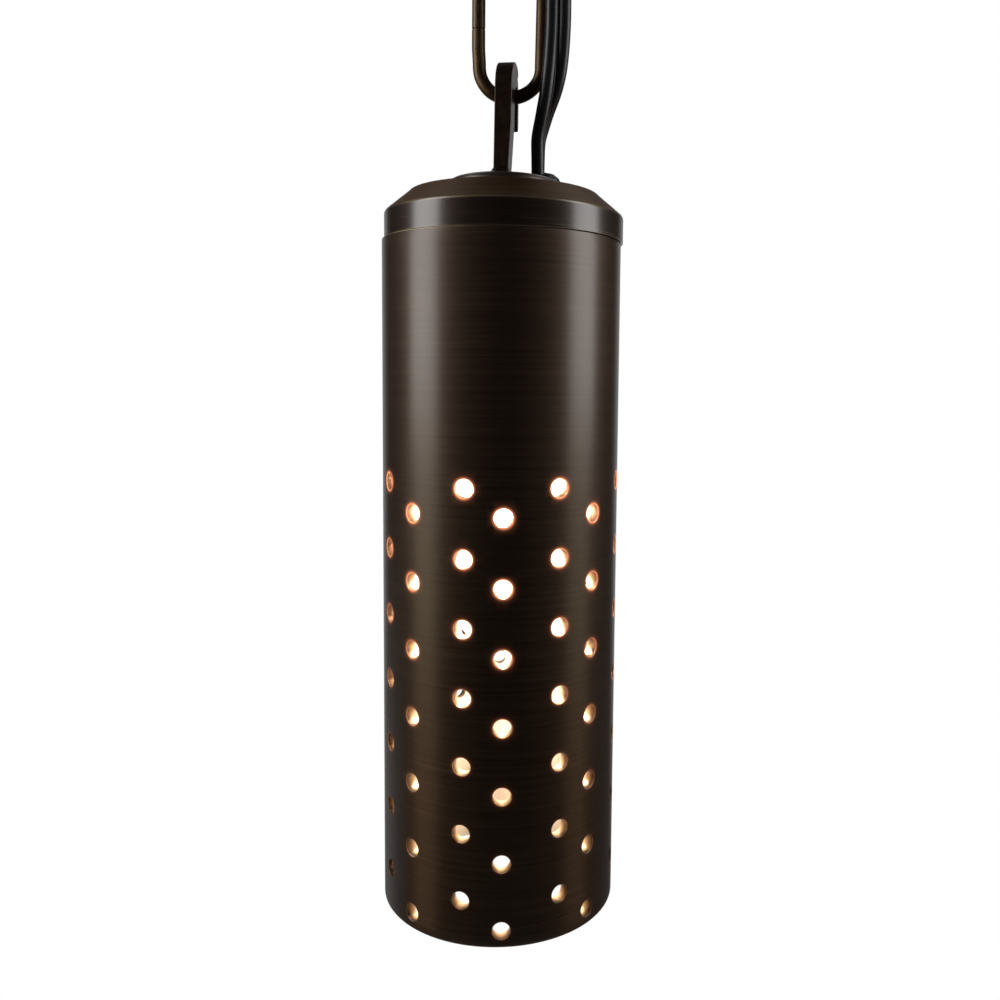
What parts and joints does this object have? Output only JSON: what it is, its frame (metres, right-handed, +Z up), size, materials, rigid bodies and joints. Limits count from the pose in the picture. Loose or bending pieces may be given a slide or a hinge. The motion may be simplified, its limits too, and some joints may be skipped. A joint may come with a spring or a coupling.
{
  "type": "pendant light",
  "caption": "Pendant light: a slim dark bronze tube shade with rows of drilled holes, a turned cap with a hook, a chain link, a flat cord and a round ceiling plate",
  "frame": {"origin": "centre of the ceiling plate's top face, which lies against the ceiling", "axes": "+Z up, out of the ceiling plate's top face; the light hangs below along -Z; -Y towards the viewer of the picture; +X to the viewer's right"},
  "size_m": [0.076, 0.076, 0.29],
  "materials": {
    "bronze_shade": "brass tube with a dark bronze patina, brushed around, satin lacquer",
    "bronze_cap": "turned brass with a dark bronze patina, worn to gold at its edges",
    "bronze_plate": "turned brass with a dark bronze patina, satin",
    "bronze_hardware": "dark bronze patina, rubbed on the edges",
    "bronze_chain": "bent brass wire with a worn bronze patina",
    "steel": "zinc plated, satin",
    "rubber": "black, matt",
    "cord": "black cord covering, semi-gloss",
    "wire": "black insulation",
    "ceramic": "unglazed white",
    "lamp_glass": "clear, lit from within",
    "filament": "glowing coil"
  },
  "bodies": {
    "ceiling": {"ceiling_plate": "bronze_plate", "ceiling_screw_left": "bronze_hardware", "ceiling_screw_right": "bronze_hardware", "ceiling_eye": "bronze_hardware", "ceiling_grommet": "rubber", "cord_entry": "cord", "cord_upper": "cord"},
    "link": {"chain_link": "bronze_chain"},
    "pendant": {"cord_lower": "cord", "cord_tail": "cord", "cord_seal": "rubber", "hook": "bronze_hardware", "hook_washer": "steel", "hook_nut": "steel", "cap": "bronze_cap", "socket_strap": "steel", "strap_screw": "steel", "lamp_socket": "ceramic", "socket_screw_front": "steel", "socket_screw_back": "steel", "cord_core_front": "wire", "cord_core_back": "wire", "splice_front": "wire", "splice_back": "wire", "lead_wire_front": "wire", "lead_wire_back": "wire"},
    "shade_tube": {"shade": "bronze_shade", "grub_screw_left": "steel", "grub_screw_right": "steel"},
    "lamp": {"lamp_bulb": "lamp_glass", "lamp_filament": "filament", "lamp_base": "ceramic", "lamp_pin_left": "steel", "lamp_pin_right": "steel"}
  },
  "joints": [
    {"name": "link_swing", "type": "hinge", "parent": "ceiling", "child": "link", "pos_m": [0, 0, -0.04298], "axis": [0, 1, 0], "range_deg": [-30, 30], "deforming": ["cord_upper"]},
    {"name": "pendant_swing", "type": "hinge", "parent": "link", "child": "pendant", "pos_m": [0, 0, -0.07343], "axis": [1, 0, 0], "range_deg": [-30, 30], "deforming": ["cord_lower"]},
    {"name": "shade_slide", "type": "slide", "parent": "pendant", "child": "shade_tube", "axis": [0, 0, -1], "range_m": [0, 0.09]},
    {"name": "lamp_pull", "type": "slide", "parent": "pendant", "child": "lamp", "axis": [0, 0, -1], "range_m": [0, 0.14]}
  ]
}
